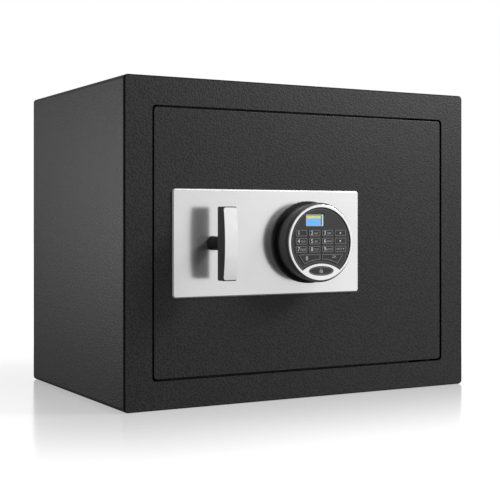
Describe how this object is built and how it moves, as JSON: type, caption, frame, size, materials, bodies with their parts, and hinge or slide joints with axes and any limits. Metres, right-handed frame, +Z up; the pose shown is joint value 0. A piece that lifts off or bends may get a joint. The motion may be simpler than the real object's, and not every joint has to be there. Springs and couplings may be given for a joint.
{
  "type": "in-room safe",
  "caption": "Steel in-room safe with a flush hinged door, turning handle, sliding locking bolts, a round electronic keypad and an empty carpeted interior.",
  "frame": {"origin": "centre of the box's underside, halfway between the front face and the back", "axes": "+X to the right as one faces the door, +Y from the door to the back, +Z up"},
  "size_m": [0.38, 0.2871, 0.3],
  "materials": {
    "powder_coat": "fine-textured black powder coat",
    "cover_coat": "black powder coat",
    "bright_steel": "turned bright steel",
    "zinc_plate": "clear zinc plating",
    "brass": "turned brass",
    "carpet": "needle-punched carpet",
    "satin_plate": "satin steel with polished bevels",
    "handle_black": "semi-gloss black",
    "handle_silver": "satin silver lacquer",
    "chrome_trim": "bright chrome",
    "gloss_black": "glossy black",
    "panel_black": "satin black film",
    "key_black": "satin black with pale legends",
    "display_glass": "clear window",
    "display_body": "liquid crystal glass, unlit",
    "board_green": "solder-masked board",
    "lock_zamak": "die-cast, unpainted",
    "coil_case": "plated steel",
    "holder_plastic": "moulded black",
    "cell_wrap": "printed plastic sleeve, unmarked",
    "wire_jacket": "black jacket"
  },
  "bodies": {
    "cabinet": {"body_shell": "powder_coat", "front_frame": "powder_coat", "back_panel": "powder_coat", "door_stops": "powder_coat", "strike_plate": "powder_coat", "hinge_brackets": "powder_coat", "thrust_washer": "brass", "floor_mat": "carpet"},
    "door": {"door_plate": "powder_coat", "face_plate": "satin_plate", "hinge_lugs": "powder_coat", "hinge_pins": "bright_steel", "bolt_guide": "powder_coat", "guide_posts": "powder_coat", "guide_screws": "zinc_plate", "cover_posts": "cover_coat", "cover_screws": "zinc_plate", "door_cover": "cover_coat", "battery_holder": "holder_plastic", "battery_cells": "cell_wrap", "lock_case": "lock_zamak", "lock_cover": "lock_zamak", "lock_screws": "zinc_plate", "lock_solenoid": "coil_case", "wiring": "wire_jacket", "handle_bush": "brass", "keypad_base": "gloss_black", "keypad_screws": "zinc_plate", "keypad_housing": "gloss_black", "keypad_bezel": "chrome_trim", "keypad_panel": "panel_black", "display_lens": "display_glass", "display_module": "display_body", "circuit_board": "board_green", "keypad_badge": "gloss_black"},
    "handle": {"handle_bar": "handle_black", "handle_face": "handle_silver", "handle_spindle": "bright_steel", "crank": "bright_steel", "spindle_clip": "zinc_plate"},
    "boltwork": {"bolt_bar": "zinc_plate", "locking_bolts": "bright_steel", "bolt_screws": "zinc_plate"},
    "spring_bolt": {"lock_bolt": "bright_steel"},
    "lid": {"battery_lid": "holder_plastic"},
    "key_1": {"key_1": "key_black"},
    "key_2": {"key_2": "key_black"},
    "key_3": {"key_3": "key_black"},
    "key_up": {"key_up": "key_black"},
    "key_4": {"key_4": "key_black"},
    "key_5": {"key_5": "key_black"},
    "key_6": {"key_6": "key_black"},
    "key_down": {"key_down": "key_black"},
    "key_7": {"key_7": "key_black"},
    "key_8": {"key_8": "key_black"},
    "key_9": {"key_9": "key_black"},
    "key_back": {"key_back": "key_black"},
    "key_0": {"key_0": "key_black"},
    "key_enter": {"key_enter": "key_black"}
  },
  "joints": [
    {"name": "door_hinge", "type": "hinge", "parent": "cabinet", "child": "door", "pos_m": [0.1466, -0.1145, 0.1495], "axis": [0, 0, 1], "range_deg": [0, 110]},
    {"name": "handle_turn", "type": "hinge", "parent": "door", "child": "handle", "pos_m": [-0.1025, -0.125, 0.1495], "axis": [0, -1, 0], "range_deg": [0, 90]},
    {"name": "bolt_slide", "type": "slide", "parent": "door", "child": "boltwork", "axis": [-1, 0, 0], "range_m": [0, 0.016]},
    {"name": "lock_bolt_slide", "type": "slide", "parent": "door", "child": "spring_bolt", "axis": [-1, 0, 0], "range_m": [0, 0.014]},
    {"name": "battery_lid_pull", "type": "slide", "parent": "door", "child": "lid", "axis": [0, 1, 0], "range_m": [0, 0.02]},
    {"name": "key_1_press", "type": "slide", "parent": "door", "child": "key_1", "axis": [0, 1, 0], "range_m": [0, 0.0007], "stiffness_N_per_m": 1500},
    {"name": "key_2_press", "type": "slide", "parent": "door", "child": "key_2", "axis": [0, 1, 0], "range_m": [0, 0.0007], "stiffness_N_per_m": 1500},
    {"name": "key_3_press", "type": "slide", "parent": "door", "child": "key_3", "axis": [0, 1, 0], "range_m": [0, 0.0007], "stiffness_N_per_m": 1500},
    {"name": "key_up_press", "type": "slide", "parent": "door", "child": "key_up", "axis": [0, 1, 0], "range_m": [0, 0.0007], "stiffness_N_per_m": 1500},
    {"name": "key_4_press", "type": "slide", "parent": "door", "child": "key_4", "axis": [0, 1, 0], "range_m": [0, 0.0007], "stiffness_N_per_m": 1500},
    {"name": "key_5_press", "type": "slide", "parent": "door", "child": "key_5", "axis": [0, 1, 0], "range_m": [0, 0.0007], "stiffness_N_per_m": 1500},
    {"name": "key_6_press", "type": "slide", "parent": "door", "child": "key_6", "axis": [0, 1, 0], "range_m": [0, 0.0007], "stiffness_N_per_m": 1500},
    {"name": "key_down_press", "type": "slide", "parent": "door", "child": "key_down", "axis": [0, 1, 0], "range_m": [0, 0.0007], "stiffness_N_per_m": 1500},
    {"name": "key_7_press", "type": "slide", "parent": "door", "child": "key_7", "axis": [0, 1, 0], "range_m": [0, 0.0007], "stiffness_N_per_m": 1500},
    {"name": "key_8_press", "type": "slide", "parent": "door", "child": "key_8", "axis": [0, 1, 0], "range_m": [0, 0.0007], "stiffness_N_per_m": 1500},
    {"name": "key_9_press", "type": "slide", "parent": "door", "child": "key_9", "axis": [0, 1, 0], "range_m": [0, 0.0007], "stiffness_N_per_m": 1500},
    {"name": "key_back_press", "type": "slide", "parent": "door", "child": "key_back", "axis": [0, 1, 0], "range_m": [0, 0.0007], "stiffness_N_per_m": 1500},
    {"name": "key_0_press", "type": "slide", "parent": "door", "child": "key_0", "axis": [0, 1, 0], "range_m": [0, 0.0007], "stiffness_N_per_m": 1500},
    {"name": "key_enter_press", "type": "slide", "parent": "door", "child": "key_enter", "axis": [0, 1, 0], "range_m": [0, 0.0007], "stiffness_N_per_m": 1500}
  ],
  "couplings": [
    {"joint": "bolt_slide", "follows": "handle_turn", "m_per_rad": 0.010186},
    {"joint": "lock_bolt_slide", "follows": "handle_turn", "m_per_rad": 0.0089126}
  ]
}
